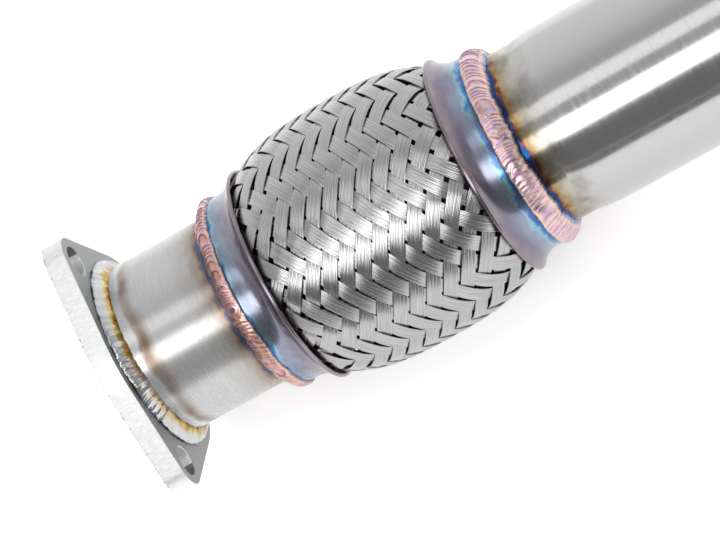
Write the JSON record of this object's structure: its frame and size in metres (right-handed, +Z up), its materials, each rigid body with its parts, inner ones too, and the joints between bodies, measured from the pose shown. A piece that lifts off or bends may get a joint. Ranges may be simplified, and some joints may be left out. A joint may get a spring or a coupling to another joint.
{
  "type": "exhaust center pipe",
  "caption": "Short exhaust center pipe with an eared bolt flange, a stub pipe, a braided flexible joint between bell-mouthed collars and a plain outlet pipe.",
  "frame": {"origin": "centre of the bolt circle in the gasket face of the flange, on the pipe's axis", "axes": "+X along the pipe from the flange to the open end, +Z up as the assembly lies at rest"},
  "size_m": [0.2629, 0.1001, 0.0961],
  "materials": {
    "flange_steel": "laser-cut plate, matt faces",
    "brushed_stainless": "brushed round the pipe",
    "weld_metal": "rippled weld bead with heat colours",
    "pressed_stainless": "smooth, heat tinted",
    "braid_strip": "flat woven wire strips",
    "bellows_stainless": "thin formed sheet"
  },
  "bodies": {
    "root": {"inlet_flange": "flange_steel", "inlet_pipe": "brushed_stainless", "flange_weld": "weld_metal", "front_weld": "weld_metal", "front_collar": "pressed_stainless", "braid_sleeve": "braid_strip", "bellows": "bellows_stainless", "inner_liner": "bellows_stainless", "rear_collar": "pressed_stainless", "rear_weld": "weld_metal", "centre_pipe": "brushed_stainless"}
  },
  "joints": []
}
